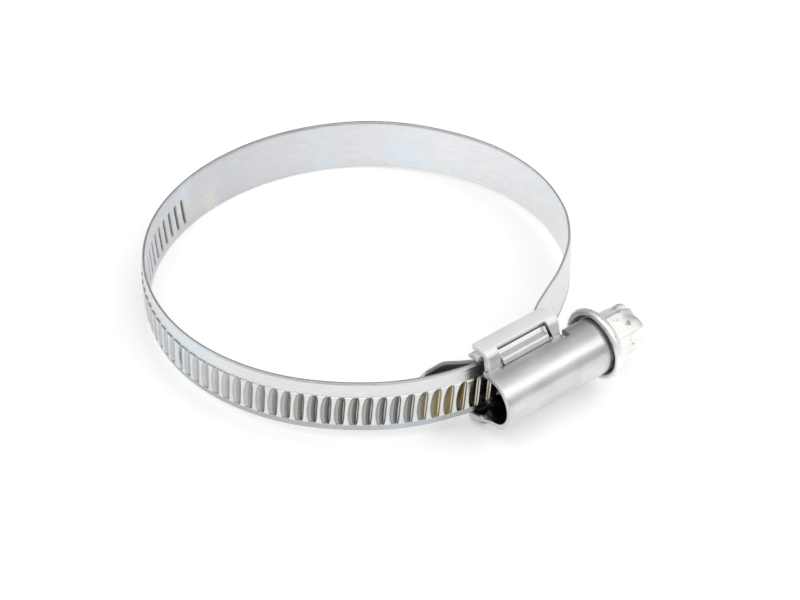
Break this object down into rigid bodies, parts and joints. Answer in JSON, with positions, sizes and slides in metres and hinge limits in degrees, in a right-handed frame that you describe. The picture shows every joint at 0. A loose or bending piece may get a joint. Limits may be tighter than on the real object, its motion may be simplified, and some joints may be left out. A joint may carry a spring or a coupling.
{
  "type": "worm drive hose clamp",
  "caption": "Worm-drive hose clamp: a thin metal band with a pressed thread, drawn round a hose by a slotted hex-head screw in a folded housing.",
  "frame": {"origin": "on the hose's axis, at the middle of the band's width", "axes": "+Z along the hose; the screw runs along X with its head at +X; the housing is on the -Y side of the hose"},
  "size_m": [0.0677, 0.0778, 0.0138],
  "materials": {
    "zinc_band": "satin, bright zinc",
    "zinc_shell": "satin, bright zinc",
    "zinc_screw": "rough, bright zinc"
  },
  "bodies": {
    "housing": {"screw_housing": "zinc_shell", "saddle": "zinc_shell", "band_fixed_end": "zinc_band"},
    "tongue": {"band_tongue": "zinc_band"},
    "right_arc": {"band_right_arc": "zinc_band"},
    "back_arc": {"band_back_arc": "zinc_band"},
    "left_arc": {"band_left_arc": "zinc_band"},
    "threaded_end": {"band_threaded_end": "zinc_band"},
    "screw": {"worm_screw": "zinc_screw"}
  },
  "joints": [
    {"name": "screw_turn", "type": "hinge", "parent": "housing", "child": "screw", "pos_m": [0.005, -0.03845, 0], "axis": [-1, 0, 0], "range_deg": [-360, 540]},
    {"name": "flex_right_low", "type": "hinge", "parent": "housing", "child": "right_arc", "pos_m": [0.02141, -0.02551, 0], "axis": [0, 0, 1], "range_deg": [-1.7, 1.15]},
    {"name": "flex_right_high", "type": "hinge", "parent": "right_arc", "child": "back_arc", "pos_m": [0.02141, 0.02551, 0], "axis": [0, 0, 1], "range_deg": [-1.15, 1.7]},
    {"name": "flex_left_high", "type": "hinge", "parent": "back_arc", "child": "left_arc", "pos_m": [-0.02141, 0.02551, 0], "axis": [0, 0, 1], "range_deg": [-1.15, 1.7]},
    {"name": "flex_left_low", "type": "hinge", "parent": "left_arc", "child": "threaded_end", "pos_m": [-0.02141, -0.02551, 0], "axis": [0, 0, 1], "range_deg": [-1.7, 1.15]},
    {"name": "tongue_flex", "type": "hinge", "parent": "housing", "child": "tongue", "pos_m": [-0.00395, -0.0333, 0], "axis": [0, 0, 1], "range_deg": [-15.7, 10.5]}
  ],
  "couplings": [
    {"joint": "flex_right_low", "follows": "screw_turn", "ratio": -0.0031195},
    {"joint": "flex_right_high", "follows": "screw_turn", "ratio": 0.0031195},
    {"joint": "flex_left_high", "follows": "screw_turn", "ratio": 0.0031195},
    {"joint": "flex_left_low", "follows": "screw_turn", "ratio": -0.0031195},
    {"joint": "tongue_flex", "follows": "screw_turn", "ratio": -0.0289}
  ]
}
